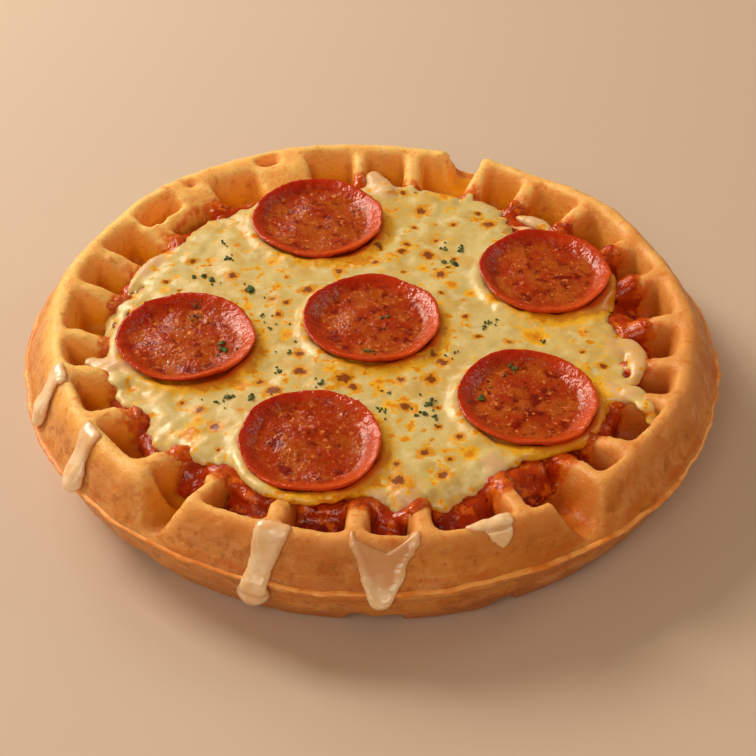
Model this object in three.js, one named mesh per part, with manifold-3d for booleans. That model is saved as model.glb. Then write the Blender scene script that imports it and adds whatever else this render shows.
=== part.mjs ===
// Pizza waffle: a thick round waffle with a deep pocketed rim, spread with tomato sauce, covered
// with melted cheese and topped with six cupped pepperoni slices and flakes of green herb.
// Cream-coloured cheese has run over the rim in five places. Millimetres, +Z up, origin at the
// middle of the underside. The side that faces the viewer is -Y.
import * as THREE from "three";
import { mergeVertices } from "three/addons/utils/BufferGeometryUtils.js";
import Module from "manifold-3d";

const wasm = await Module();
wasm.setup();

// Driving dimensions of the waffle
const SEAM_RADIUS = 90;
const SEAM_HEIGHT = 17.2;
const FOOT_RADIUS = 82;
const RIM_RADIUS = 82.6;
const RIM_HEIGHT = 29;
const PLATFORM_RADIUS = 58;
const PLATFORM_HEIGHT = 20.5;
const SLOPE_RADIUS = 66;
const SLOPE_HEIGHT = 23.2;
const SHOULDER_RADIUS = 74;
const SHOULDER_HEIGHT = 27.4;
const ROUND_STEPS = 60;

// The pockets that ring the rim, and the ribs between them
const POCKET_COUNT = 27;
const POCKET_PITCH = 360 / POCKET_COUNT;
const FIRST_POCKET_AZIMUTH = 87.4;
const POCKET_FLOOR = 16;
const POCKET_INNER_RADIUS = 59;
const POCKET_WALL_TOP = 79.3;
const POCKET_WALL_FOOT = 76.8;
const FRONT = { azimuth: -88, spread: 45, thinner: 2, lower: 1.3 };
const RIB_HALF_TOP = 1.9;
const RIB_HALF_FOOT = 3.3;
const RIB_PIVOT_RADIUS = 72;

// Toppings: heights of each layer and the pepperoni slices
const SAUCE_UNDERSIDE = 15;
const SAUCE_HEIGHT = 21.8;
const SAUCE_COLLAR_HEIGHT = 23.5;
const SAUCE_POOL_HEIGHT = 17.6;
const SAUCE_MEAN_RADIUS = 68.3;
const CHEESE_UNDERSIDE = 18;
const CHEESE_HEIGHT = 25;
const CHEESE_MEAN_RADIUS = 66;
const SLICE_BASE_HEIGHT = 24.4;
const SLICE_RIM_HEIGHT = 3.1;
const SLICE_STEPS = 26;
const LAYER_STEPS = 47;
const GAP = 0.3;

const radians = THREE.MathUtils.degToRad;
const { lerp, smoothstep } = THREE.MathUtils;

// A point in plan from an azimuth in degrees (0 at +X, 90 at +Y) and a radius
const polar = (azimuth, radius, z = 0) =>
  new THREE.Vector3(radius * Math.cos(radians(azimuth)), radius * Math.sin(radians(azimuth)), z);

const azimuthOf = (x, y) => THREE.MathUtils.radToDeg(Math.atan2(y, x));

// The smallest signed turn in degrees from one azimuth to another
const turn = (from, to) => THREE.MathUtils.euclideanModulo(to - from + 180, 360) - 180;

// A smooth bump of height 1 at the middle, for lobes, bays and drifts round an outline
const bump = (distance, spread) => Math.exp(-((distance / spread) ** 2));

// Ripples round a circle, each given as its height, its count in a turn and its phase
const ripples = (waves, angle) =>
  waves.reduce((sum, [height, count, phase]) => sum + height * Math.sin(count * angle + phase), 0);

// Seeded random numbers between 0 and 1
function randomFrom(seed) {
  let state = seed;
  return () => {
    state = (state + 0x6d2b79f5) | 0;
    let mixed = Math.imul(state ^ (state >>> 15), 1 | state);
    mixed = (mixed + Math.imul(mixed ^ (mixed >>> 7), 61 | mixed)) ^ mixed;
    return ((mixed ^ (mixed >>> 14)) >>> 0) / 4294967296;
  };
}

// Six times the volume of a closed mesh, negative where its faces point inwards
function signedVolume(positions, triangles) {
  const [a, b, c] = [new THREE.Vector3(), new THREE.Vector3(), new THREE.Vector3()];
  let sum = 0;
  for (let i = 0; i < triangles.length; i += 3) {
    a.fromArray(positions, 3 * triangles[i]);
    b.fromArray(positions, 3 * triangles[i + 1]);
    c.fromArray(positions, 3 * triangles[i + 2]);
    sum += a.dot(b.cross(c));
  }
  return sum;
}

// Moves every corner of a closed geometry by a rule and returns it as a solid. A rule
// that mirrors the shape turns its faces inwards, and they are turned out again.
function solidFrom(geometry, move = () => {}) {
  const corner = new THREE.Vector3();
  const positions = geometry.attributes.position;
  for (let i = 0; i < positions.count; i += 1) {
    corner.fromBufferAttribute(positions, i);
    move(corner);
    positions.setXYZ(i, corner.x, corner.y, corner.z);
  }
  geometry.deleteAttribute("normal");
  geometry.deleteAttribute("uv");
  const merged = mergeVertices(geometry, 1e-3);
  const index = merged.index.array;
  const triangles = [];
  for (let i = 0; i < index.length; i += 3) {
    const [a, b, c] = [index[i], index[i + 1], index[i + 2]];
    if (a !== b && b !== c && c !== a) triangles.push(a, b, c);
  }
  const vertProperties = Float32Array.from(merged.attributes.position.array);
  const triVerts = Uint32Array.from(triangles);
  if (signedVolume(vertProperties, triVerts) < 0) triVerts.reverse();
  return new wasm.Manifold(new wasm.Mesh({ numProp: 3, vertProperties, triVerts }));
}

// Revolves an outline of (radius, height) points about the Z axis
function revolve(outline, steps, move) {
  const points = outline.map(([radius, height]) => new THREE.Vector2(radius, height));
  return solidFrom(new THREE.LatheGeometry(points, steps).rotateX(Math.PI / 2), move);
}

// A box whose corners are placed by a rule of three fractions from 0 to 1
function placedBox(steps, place) {
  const box = new THREE.BoxGeometry(1, 1, 1, ...steps).translate(0.5, 0.5, 0.5);
  return solidFrom(box, (corner) => corner.copy(place(corner.x, corner.y, corner.z)));
}

const joinAll = (solids) => solids.reduce((whole, solid) => whole.add(solid));
const cutAll = (solid, cutters) => cutters.reduce((rest, cutter) => rest.subtract(cutter), solid);

// The largest piece of a solid, without the crumbs that a cut can leave
const mainPiece = (solid) => solid.decompose().sort((a, b) => b.volume() - a.volume())[0];

// WAFFLE
// The iron leaves a wall that swells to a thin flash of batter at the seam of its two plates.

// Half section from the middle of the underside round the wall to the middle of the platform
function waffleOutline(grow) {
  const half = new THREE.Path();
  const [foot, seam, rim] = [FOOT_RADIUS + grow, SEAM_RADIUS + grow, RIM_RADIUS + grow];
  half.moveTo(0, 0);
  half.lineTo(foot - 2, 0);
  half.quadraticCurveTo(foot - 0.2, 0, foot + 0.8, 1.8);
  half.quadraticCurveTo(seam - 3.4, 7.5, seam - 1.4, SEAM_HEIGHT - 1.8);
  half.lineTo(seam, SEAM_HEIGHT - 0.5);
  half.lineTo(seam, SEAM_HEIGHT + 0.4);
  half.lineTo(seam - 1.5, SEAM_HEIGHT + 1.2);
  half.quadraticCurveTo(rim + 3, RIM_HEIGHT - 5, rim + 0.6, RIM_HEIGHT - 1 + grow);
  half.quadraticCurveTo(rim - 0.2, RIM_HEIGHT + grow, rim - 2, RIM_HEIGHT + grow);
  half.lineTo(POCKET_WALL_TOP - 1, RIM_HEIGHT - 0.7 + grow);
  half.lineTo(SHOULDER_RADIUS, SHOULDER_HEIGHT + grow);
  half.lineTo(SLOPE_RADIUS, SLOPE_HEIGHT + grow);
  half.lineTo(PLATFORM_RADIUS, PLATFORM_HEIGHT + grow);
  half.lineTo(0, PLATFORM_HEIGHT + grow);
  return half.getPoints(2).map((point) => [point.x, point.y]);
}

// The wall isn't true: it wanders in and out, its top edge rises and falls a little, and at the
// front it is lowest and thinnest
const WALL_WANDER = [[0.4, 3, 1], [0.3, 8, 2], [0.2, 13, 0]];
const RIM_RISE = [[0.3, 5, 4], [0.25, 11, 1]];
const frontness = (azimuth) => bump(turn(FRONT.azimuth, azimuth), FRONT.spread);

function wobble(corner) {
  const radius = Math.hypot(corner.x, corner.y);
  const share = smoothstep(radius, PLATFORM_RADIUS + 4, RIM_RADIUS - 2.6) * (corner.z / RIM_HEIGHT);
  const angle = Math.atan2(corner.y, corner.x);
  const out = ripples(WALL_WANDER, angle);
  const up = ripples(RIM_RISE, angle) - FRONT.lower * frontness(azimuthOf(corner.x, corner.y));
  const reach = 1 + (share * out) / Math.max(radius, 1);
  corner.x *= reach;
  corner.y *= reach;
  corner.z += share * up;
}

// Ribs lean from the radial direction towards the square grid of the rest of the iron, and
// near the front right notch they crowd a little to one side
function rib(number) {
  const even = FIRST_POCKET_AZIMUTH + POCKET_PITCH * (0.5 - number);
  const azimuth = even + 1.1 * Math.sin(2.3 * number) + 4 * bump(turn(-56, even), 11);
  const direction = azimuth - 7 * Math.sin(4 * radians(azimuth));
  return { azimuth, direction };
}

// A point in plan on one side of a rib, at a radius along it
function ribSide(number, side, radius, halfWidth) {
  const { azimuth, direction } = rib(number);
  const along = polar(direction, radius - RIB_PIVOT_RADIUS);
  const aside = polar(direction + 90, side * halfWidth);
  return polar(azimuth, RIB_PIVOT_RADIUS).add(along).add(aside);
}

// The space between two ribs, narrower at its floor than at its mouth
function rimPocket(number, grow) {
  const thinner = FRONT.thinner * frontness(FIRST_POCKET_AZIMUTH - POCKET_PITCH * number);
  return placedBox([2, 1, 1], (across, out, up) => {
    const half = lerp(RIB_HALF_FOOT, RIB_HALF_TOP, up) + grow;
    const wall = lerp(POCKET_WALL_FOOT, POCKET_WALL_TOP, up) + thinner - grow;
    const radius = lerp(POCKET_INNER_RADIUS + grow, wall, out);
    const left = ribSide(number, -1, radius, half);
    const right = ribSide(number + 1, 1, radius, half);
    const point = left.lerp(right, 1 - across);
    if (out === 1) point.setLength(wall);
    point.z = lerp(POCKET_FLOOR + grow, RIM_HEIGHT + 1, up);
    return point;
  });
}

// A box-like pocket set by its own middle, for the back left where the square grid shows
function gridPocket({ azimuth, radius, wide, deep, floor }, grow) {
  return placedBox([1, 1, 1], (across, out, up) => {
    const taper = lerp(0.72, 1, up);
    const aside = polar(azimuth + 90, (across - 0.5) * (wide * taper - 2 * grow));
    const outward = polar(azimuth, radius + (out - 0.5) * (deep * taper - 2 * grow));
    return outward.add(aside).setZ(lerp(floor + grow, RIM_HEIGHT + 1, up));
  });
}

const RADIAL_POCKETS = Array.from({ length: 23 }, (_, number) => number).concat(26);
const GRID_POCKETS = [
  { azimuth: 142.5, radius: 76.3, wide: 16, deep: 7, floor: 19 },
  { azimuth: 138.5, radius: 66.5, wide: 15, deep: 8, floor: 18 },
  { azimuth: 123, radius: 71.5, wide: 16, deep: 11.5, floor: 17 },
  { azimuth: 113.8, radius: 79, wide: 8, deep: 4, floor: 24 },
  { azimuth: 132, radius: 79.2, wide: 4.5, deep: 3, floor: 26 },
];

// Where the outer wall is missing: a gap beside a pocket, wide at the top, narrow at the seam
const NOTCHES = [
  { azimuth: 71.3, topWidth: 11, footWidth: 7 },
  { azimuth: -54.3, topWidth: 15.5, footWidth: 5 },
  { azimuth: -124.3, topWidth: 14, footWidth: 4.5 },
];

function notch({ azimuth, topWidth, footWidth }) {
  return placedBox([1, 1, 1], (across, out, up) => {
    const aside = polar(azimuth + 90, (across - 0.5) * lerp(footWidth, topWidth, up));
    const height = lerp(SEAM_HEIGHT + 1, RIM_HEIGHT + 1, up);
    return polar(azimuth, lerp(72, SEAM_RADIUS + 3, out)).add(aside).setZ(height);
  });
}

// The underside is the plain square grid of the iron, kept inside the ring that it stands on
const GRID_PITCH = 17;
const GRID_MOUTH = 12.2;
const GRID_DEPTH = 8.5;
const GRID_REACH = 74;

function undersidePockets() {
  const pockets = [];
  for (let column = -4; column <= 4; column += 1) {
    for (let row = -5; row <= 4; row += 1) {
      const middle = new THREE.Vector3(column * GRID_PITCH, (row + 0.5) * GRID_PITCH, 0);
      if (middle.length() > GRID_REACH) continue;
      pockets.push(placedBox([1, 1, 1], (across, along, up) => {
        const width = lerp(GRID_MOUTH, GRID_MOUTH * 0.75, up);
        const offset = new THREE.Vector3((across - 0.5) * width, (along - 0.5) * width, 0);
        return offset.add(middle).setZ(lerp(-0.5, GRID_DEPTH, up));
      }));
    }
  }
  const limit = new THREE.CylinderGeometry(GRID_REACH, GRID_REACH + 1, 2 * GRID_DEPTH + 2, 48);
  return joinAll(pockets).intersect(solidFrom(limit.rotateX(Math.PI / 2)));
}

// Low arches in the foot, where a pocket of the underside runs out through the edge
const FOOT_ARCHES = [
  { azimuth: -129, width: 12, height: 5 },
  { azimuth: -89.5, width: 10, height: 3 },
  { azimuth: -68, width: 3.6, height: 2.4 },
  { azimuth: -50, width: 9, height: 4 },
  { azimuth: -8, width: 10, height: 3.5 },
  { azimuth: 31, width: 8, height: 3 },
  { azimuth: 66, width: 11, height: 4 },
  { azimuth: 104, width: 6, height: 3 },
  { azimuth: 143, width: 11, height: 4.5 },
  { azimuth: 178, width: 8, height: 3 },
];

function footArch({ azimuth, width, height }) {
  return placedBox([4, 1, 1], (across, out, up) => {
    const aside = polar(azimuth + 90, (across - 0.5) * width);
    const vault = height * Math.sqrt(1 - ((across - 0.5) * 1.8) ** 2);
    return polar(azimuth, lerp(68, SEAM_RADIUS, out)).add(aside).setZ(lerp(-0.5, vault, up));
  });
}

// The waffle without its underside, grown by a clearance where toppings are cut to fit it
function waffleTop(grow) {
  const body = revolve(waffleOutline(grow), ROUND_STEPS, wobble);
  const radial = RADIAL_POCKETS.map((number) => rimPocket(number, grow));
  const grid = GRID_POCKETS.map((pocket) => gridPocket(pocket, grow));
  return cutAll(body, [...radial, ...grid]);
}

const waffle = mainPiece(cutAll(waffleTop(0), [
  ...NOTCHES.map(notch),
  undersidePockets(),
  ...FOOT_ARCHES.map(footArch),
]));
const waffleWithGap = waffleTop(GAP);

// SAUCE
// A layer over the whole platform that climbs over the inner ends of the ribs and runs down
// into the pockets, furthest at the front.

const SAUCE_FRONT = { azimuth: -95, reach: 8, spread: 50 };
const SAUCE_EDGE = [[0.9, 9, 1], [0.6, 16, 0]];

function sauceRadius(azimuth) {
  const front = SAUCE_FRONT.reach * bump(turn(SAUCE_FRONT.azimuth, azimuth), SAUCE_FRONT.spread);
  return SAUCE_MEAN_RADIUS + front + ripples(SAUCE_EDGE, radians(azimuth));
}

// Height of the sauce at a radius: level, then the collar, then the run down into the pockets
function sauceHeight(radius) {
  const collar = lerp(SAUCE_HEIGHT, SAUCE_COLLAR_HEIGHT, smoothstep(radius, 55, 61));
  return lerp(collar, SAUCE_POOL_HEIGHT, smoothstep(radius, 61.5, 76));
}

// A round layer made from a unit disc: its outline, its top and its flat underside are rules
function layer(rings, steps, place) {
  const top = rings.map((share) => [share, 1]);
  const outline = [[0, 0], [rings[0], 0], ...top, [0, 1]];
  return revolve(outline, steps, (corner) => {
    const azimuth = azimuthOf(corner.x, corner.y);
    const share = Math.hypot(corner.x, corner.y);
    const { radius, height } = place(azimuth, share, corner.z > 0.5);
    corner.copy(polar(azimuth, radius, height));
  });
}

function sauceBody(grow) {
  return layer([1, 0.94, 0.87, 0.78], LAYER_STEPS, (azimuth, share, isTop) => {
    const radius = share * (sauceRadius(azimuth) + grow);
    const edge = share === 1 ? 0.8 : 0;
    return { radius, height: isTop ? sauceHeight(radius) - edge + grow : SAUCE_UNDERSIDE };
  });
}

const sauce = mainPiece(sauceBody(0).subtract(waffleWithGap));

// PEPPERONI
// Thin slices that cupped in the oven: the middle lies low and the edge stands up all round.

// Each slice: its middle in plan, radius, and the azimuth that it leans down towards
const SLICES = [
  { name: "pepperoni_centre", x: -0.2, y: -1.7, radius: 18, lean: 1, towards: -90 },
  { name: "pepperoni_back_left", x: -16.1, y: 44.2, radius: 18.5, lean: 2, towards: -90 },
  { name: "pepperoni_left", x: -47.3, y: -11.2, radius: 17.8, lean: 0.8, towards: -110 },
  { name: "pepperoni_front", x: -13.9, y: -49.7, radius: 17.2, lean: 3.6, towards: -92 },
  { name: "pepperoni_front_right", x: 38.2, y: -32.4, radius: 17.5, lean: 1.6, towards: -70 },
  { name: "pepperoni_back_right", x: 45.8, y: 20.7, radius: 18, lean: 1.8, towards: -80 },
];

const sliceOutline = (radius) => [
  [0, 0], [radius - 3, 0.1], [radius - 0.5, 0.7], [radius, 1.8],
  [radius - 0.5, SLICE_RIM_HEIGHT], [radius - 1.5, SLICE_RIM_HEIGHT - 0.2], [radius - 4, 2.1], [0, 1.6],
];

// The hollow that a slice pressed into the cheese, a gap larger than the slice
const seatOutline = (radius) => [
  [0, -GAP], [radius - 2.5, -GAP], [radius + GAP, 0.9], [radius + GAP, 6], [0, 6],
];

// Sets a slice, or a cutter for its seat, on the cheese: tipped a little, not quite round, its
// edge curling up more in some places than in others
function placeSlice(outline, { x, y, radius, lean, towards }, number) {
  const axis = polar(towards + 90, 1);
  const curl = [[0.22, 3, 2 * number], [0.14, 5, number]];
  const squash = [[0.008, 2, number]];
  return revolve(outline(radius), SLICE_STEPS, (corner) => {
    const angle = Math.atan2(corner.y, corner.x);
    const rim = (Math.hypot(corner.x, corner.y) / radius) ** 3;
    corner.z += rim * ripples(curl, angle);
    corner.multiplyScalar(1 + ripples(squash, angle));
    corner.applyAxisAngle(axis, radians(lean));
    corner.add(new THREE.Vector3(x, y, SLICE_BASE_HEIGHT));
  });
}

// CHEESE
// One melted sheet with a soft rolled edge, tongues that reach into the rim and bays between.

// Each lobe: azimuth of its middle, reach beyond the mean edge (a bay if negative), half width
const CHEESE_LOBES = [
  [77, 5.5, 9], [64, 5, 6], [46, -9, 8], [24, 2, 9], [2, -4.5, 5], [-11, 3, 5], [-26, 2.5, 6],
  [-44, -13, 8], [-60, -2, 5], [-80, 6.5, 6], [-91, -3, 4], [-104, 2, 7], [-121, -2, 4],
  [-137, 4, 8], [-162, 2.5, 9], [178, 4.5, 12], [153, -5, 8], [134, 1, 6], [100, 1.5, 9],
];

function cheeseRadius(azimuth) {
  return CHEESE_LOBES.reduce(
    (sum, [middle, reach, spread]) => sum + reach * bump(turn(middle, azimuth), spread),
    CHEESE_MEAN_RADIUS,
  );
}

// Gentle humps where the cheese bubbled and pooled
const cheeseHump = (x, y) =>
  0.3 * Math.sin(x / 9 + 1) * Math.cos(y / 11) + 0.2 * Math.sin(x / 4.3 - y / 5.1);

function cheeseBody() {
  return layer([1, 0.975, 0.92, 0.82, 0.62, 0.4, 0.18], LAYER_STEPS, (azimuth, share, isTop) => {
    const reach = cheeseRadius(azimuth);
    const radius = share * reach;
    const { x, y } = polar(azimuth, radius);
    const edgeHeight = sauceHeight(reach) + 0.7;
    const roll = Math.sqrt(Math.max(0, 1 - (smoothstep(share, 0.8, 1) ** 2)));
    const top = lerp(edgeHeight, CHEESE_HEIGHT + cheeseHump(x, y), roll);
    return { radius, height: isTop ? top : CHEESE_UNDERSIDE };
  });
}

// HERB FLAKES
// Dried green leaf, pressed into whatever it fell on.

// Each flake: place in plan and length
const CHEESE_FLAKES = [
  [-46, 16.5, 2.2], [-42.5, 15.4, 3.2], [-31, 12, 4.2], [-39.5, 25.5, 1.8], [20.3, 26.8, 3],
  [24, 32.6, 2.2], [19.8, 33, 1.5], [29.2, -1.2, 1.8], [-23.5, -21.4, 2], [-34, -33.2, 2.4],
  [-28.9, -33, 2.2], [14.2, -31, 2.6], [13, -36.6, 1.8], [16, -38.2, 1.8],
];
const SLICE_FLAKES = [
  [3.8, -0.8, 1.9], [-0.7, -14, 1.7], [-38.4, -14, 3.4], [-46, -1.4, 1.8], [35.7, -20, 2.2],
  [27.4, -32.4, 2.2],
];
const FLAKE_SIZE = new THREE.Vector3(1, 0.62, 0.4);

function flake([x, y, length], height, random) {
  const heading = random() * 2 * Math.PI;
  return solidFrom(new THREE.OctahedronGeometry(length / 2, 0), (corner) => {
    corner.multiplyScalar(1 + 0.25 * Math.sin(corner.x + 2 * corner.y + heading));
    corner.multiply(FLAKE_SIZE);
    corner.applyAxisAngle(new THREE.Vector3(0, 0, 1), heading);
    corner.add(new THREE.Vector3(x, y, height));
  });
}

// Height of a slice's hollow top at a place in plan
function sliceTop({ x, y, radius, lean, towards }, place) {
  const offset = new THREE.Vector3(place[0] - x, place[1] - y, 0);
  const drop = polar(towards, 1).dot(offset) * Math.tan(radians(lean));
  return SLICE_BASE_HEIGHT + 1.6 - drop + 0.5 * (offset.length() / radius) ** 2;
}

// CHEESE DRIPS
// Cream-coloured cheese that crossed the rim and ran down the outer wall.

// Each run: azimuth at its top and at its tip, widths at the rim, at the neck and at the bulb,
// height of its tip, and thickness over the wall
const DRIPS = [
  { name: "cheese_drip_left", from: -159.5, to: -156.5, widths: [6.5, 4.2, 7], end: 17.8, thick: 2.1 },
  { name: "cheese_drip_front_left", from: -143, to: -141.2, widths: [7.5, 5, 7.6], end: 16.8, thick: 2.1 },
  { name: "cheese_drip_front", from: -104.6, to: -107.2, widths: [8.8, 5.6, 8], end: 8.3, thick: 2 },
  { name: "cheese_drip_fan", from: -87.2, to: -88.2, widths: [17.5, 10.5, 4], end: 13, thick: 0.9 },
  { name: "cheese_drip_small", from: -69.4, to: -69, widths: [8, 6, 4.5], end: 24.2, thick: 0.9 },
];
const DRIP_START_RADIUS = 80.5;
const DRIP_EDGE = 0.5;
const DRIP_ROW = 3.5;

// The outer wall from the top of the rim down to the foot, as (radius, height) points
const WALL = waffleOutline(0)
  .filter(([radius]) => radius > DRIP_START_RADIUS)
  .reverse()
  .map(([radius, height]) => new THREE.Vector2(radius, height));

// Points down the wall to a height: every corner of the wall, and more where those are far apart,
// so that a run bends where the wall does
function wallRows(end) {
  const rows = [WALL[0]];
  for (let i = 1; rows.at(-1).y > end + 0.01; i += 1) {
    const [start, finish] = [WALL[i - 1], WALL[i]];
    const last = start.clone().lerp(finish, Math.min(1, (start.y - end) / (start.y - finish.y)));
    const pieces = Math.ceil(start.distanceTo(last) / DRIP_ROW);
    for (let j = 1; j <= pieces; j += 1) rows.push(start.clone().lerp(last, j / pieces));
  }
  return rows;
}

function drip({ from, to, widths, end, thick }) {
  const rows = wallRows(end);
  const last = rows.length - 1;
  const [top, neck, bulb] = widths;
  return placedBox([3, last, 1], (across, along, out) => {
    const row = Math.round(along * last);
    const down = (RIM_HEIGHT - rows[row].y) / (RIM_HEIGHT - end);
    const neckWidth = lerp(top, neck, smoothstep(down, 0, 0.4));
    const gathered = smoothstep(down, 0.45, 0.85);
    const width = lerp(neckWidth, bulb, gathered);
    const tip = Math.sqrt(1 - 0.9 * smoothstep(down, 0.75, 1) ** 2);
    const dome = thick * (1 - (2 * across - 1) ** 2) * lerp(0.45, 1, gathered) * tip;
    const wallRun = rows[Math.min(row + 1, last)].clone().sub(rows[Math.max(row - 1, 0)]).normalize();
    const lift = out ? GAP + DRIP_EDGE + dome : -1;
    const turned = THREE.MathUtils.radToDeg(((across - 0.5) * width * tip) / SEAM_RADIUS);
    const radius = rows[row].x - wallRun.y * lift;
    const point = polar(lerp(from, to, down) + turned, radius, rows[row].y + wallRun.x * lift);
    wobble(point);
    return point;
  });
}

// THE WHOLE
// Every topping is cut to fit what it lies on, with a small gap between neighbours.

function mesh(name, solid, color, roughness) {
  const { vertProperties, triVerts } = solid.getMesh();
  const geometry = new THREE.BufferGeometry();
  geometry.setAttribute("position", new THREE.BufferAttribute(vertProperties, 3));
  geometry.setIndex(new THREE.BufferAttribute(triVerts, 1));
  geometry.computeVertexNormals();
  const part = new THREE.Mesh(geometry, new THREE.MeshStandardMaterial({ color, roughness, metalness: 0 }));
  part.name = name;
  return part;
}

const random = randomFrom(27);
const seats = SLICES.map((slice, number) => placeSlice(seatOutline, slice, number));
const cheeseSheet = mainPiece(cutAll(cheeseBody(), [sauceBody(GAP), waffleWithGap, ...seats]));
const cheeseFlakes = CHEESE_FLAKES.map((place) =>
  flake(place, CHEESE_HEIGHT + cheeseHump(place[0], place[1]), random));
const cheese = joinAll([cheeseSheet, ...cheeseFlakes]);

function pepperoni(slice, number) {
  const body = placeSlice(sliceOutline, slice, number).subtract(waffleWithGap);
  const onSlice = SLICE_FLAKES.filter(([x, y]) => Math.hypot(x - slice.x, y - slice.y) < slice.radius);
  return joinAll([body, ...onSlice.map((place) => flake(place, sliceTop(slice, place), random))]);
}

const wallWithGap = revolve(waffleOutline(GAP), ROUND_STEPS, wobble);
const pizzaWaffle = new THREE.Group();
pizzaWaffle.add(mesh("waffle", waffle, 0xd9a05b, 0.6));
pizzaWaffle.add(mesh("tomato_sauce", sauce, 0x9c2a0e, 0.25));
pizzaWaffle.add(mesh("cheese", cheese, 0xe6d288, 0.4));
SLICES.forEach((slice, number) => {
  pizzaWaffle.add(mesh(slice.name, pepperoni(slice, number), 0xa63c22, 0.35));
});
DRIPS.forEach((run) => {
  pizzaWaffle.add(mesh(run.name, mainPiece(drip(run).subtract(wallWithGap)), 0xdfc498, 0.35));
});

export default pizzaWaffle;
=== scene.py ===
import math
import random

import bmesh
import bpy
from mathutils import Matrix, Vector, noise
from mathutils.bvhtree import BVHTree


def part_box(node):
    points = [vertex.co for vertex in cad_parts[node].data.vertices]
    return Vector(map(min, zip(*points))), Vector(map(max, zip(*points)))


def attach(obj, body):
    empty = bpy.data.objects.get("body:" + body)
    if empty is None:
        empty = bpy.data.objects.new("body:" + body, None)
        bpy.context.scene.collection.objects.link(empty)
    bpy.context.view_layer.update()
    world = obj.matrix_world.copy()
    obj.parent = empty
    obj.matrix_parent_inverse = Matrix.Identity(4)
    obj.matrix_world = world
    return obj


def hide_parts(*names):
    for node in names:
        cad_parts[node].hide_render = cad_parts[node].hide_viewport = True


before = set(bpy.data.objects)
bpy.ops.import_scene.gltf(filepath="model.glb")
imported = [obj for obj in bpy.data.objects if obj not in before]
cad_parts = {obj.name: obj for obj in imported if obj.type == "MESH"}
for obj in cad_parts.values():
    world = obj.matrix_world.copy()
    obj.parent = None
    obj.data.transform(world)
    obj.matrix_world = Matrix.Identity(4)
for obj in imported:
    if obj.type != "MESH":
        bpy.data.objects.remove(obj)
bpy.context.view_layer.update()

# Baked waffle
# One thick round of batter, baked golden in a deep-pocket iron: crisp outside, soft inside. Its ribs
# and rim are blunt and a little uneven. It lies flat, and carries the sauce, cheese and slices.

MM = 0.001
CRUST_GRAIN = 1.1 * MM
CRUST_SWAY = 0.55 * MM
CRUST_LUMP = 0.36 * MM
CRUST_CRUMB = 0.13 * MM
CRUST_EDGE = 0.9 * MM
UNDERSIDE_CLEAR = 6 * MM
RIB_TOP = 28.2 * MM
POCKET_FLOOR = 17 * MM
OUTSIDE_RADIUS = 84.5 * MM
SEAM_HEIGHT = 17 * MM
SEAM_BAND = 2.4 * MM
# Where grooves of the underside run out through the wall's foot: degrees, half width and height
FOOT_NOTCHES = [(271.5, 6, 3.6), (292.5, 2.6, 3)]
FOOT_RADIUS = 74 * MM
FOOT_HEIGHT = 7 * MM
# How far the sauce has spread over the ribs: degrees round the middle, and radius
SAUCE_REACH = [
    (0, 72.5), (12, 74), (22, 75), (32, 74.5), (42, 71), (60, 70), (75, 67), (90, 70), (105, 68),
    (118, 66), (130, 70), (140, 69), (150, 67.5), (158, 68), (166, 69.5), (180, 68.5), (195, 69),
    (205, 69), (215, 70), (226, 71), (240, 69), (255, 69), (270, 69.5), (285, 70), (300, 71.5),
    (315, 72), (330, 69), (345, 70),
]
SAUCE_INNER = 57
SAUCE_LOWEST = 14 * MM
SAUCE_FADE = 2.2
NO_SAUCE = -3


def solid_copy(*nodes):
    """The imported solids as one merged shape, free to be worked on."""
    shape = bmesh.new()
    for node in nodes:
        shape.from_mesh(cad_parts[node].data)
    bmesh.ops.remove_doubles(shape, verts=shape.verts, dist=0.001 * MM)
    return shape


def even_skin(shape, grain):
    """The same shape in a fine even skin, with faces of one grain size. Shapes that meet are fused."""
    rough = bpy.data.meshes.new("rough shape")
    shape.to_mesh(rough)
    shape.free()
    holder = bpy.data.objects.new("rough shape", rough)
    bpy.context.collection.objects.link(holder)
    skin = holder.modifiers.new("even skin", "REMESH")
    skin.mode = "VOXEL"
    skin.voxel_size = grain
    evened = holder.evaluated_get(bpy.context.evaluated_depsgraph_get())
    fine = bpy.data.meshes.new_from_object(evened)
    bpy.data.objects.remove(holder)
    even = bmesh.new()
    even.from_mesh(fine)
    bpy.data.meshes.remove(fine)
    bpy.data.meshes.remove(rough)
    return even


def soften(shape, times, upwards=True):
    """Rounds every edge off a little more with each time, or only the corners as seen from above."""
    for _ in range(times):
        bmesh.ops.smooth_vert(
            shape, verts=shape.verts, factor=0.5, use_axis_x=True, use_axis_y=True, use_axis_z=upwards
        )
    shape.normal_update()


def lumps(place, size, shift):
    """Smooth unevenness between -1 and 1, in lumps of one size; each shift gives another pattern."""
    return noise.noise(place / size + Vector((shift, 2.3 * shift, -1.7 * shift)))


def sway(place, size, shift):
    """The same unevenness as a push in all three directions."""
    return Vector([lumps(place, size, shift + step) for step in (0, 5, 11)])


def step_between(value, start, end):
    """0 at the start, 1 at the end, smooth between."""
    share = max(0.0, min(1.0, (value - start) / (end - start)))
    return share * share * (3 - 2 * share)


def mark_edges(shape, times, full):
    """Notes how far each point stands out from its softened surroundings, from -1 to 1."""
    blunt = shape.copy()
    soften(blunt, times)
    blunt.verts.ensure_lookup_table()
    shape.verts.index_update()
    edge = shape.verts.layers.float.new("edge")
    for vert in shape.verts:
        out = (vert.co - blunt.verts[vert.index].co).dot(vert.normal)
        vert[edge] = max(-1, min(1, out / full))
    blunt.free()


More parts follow.
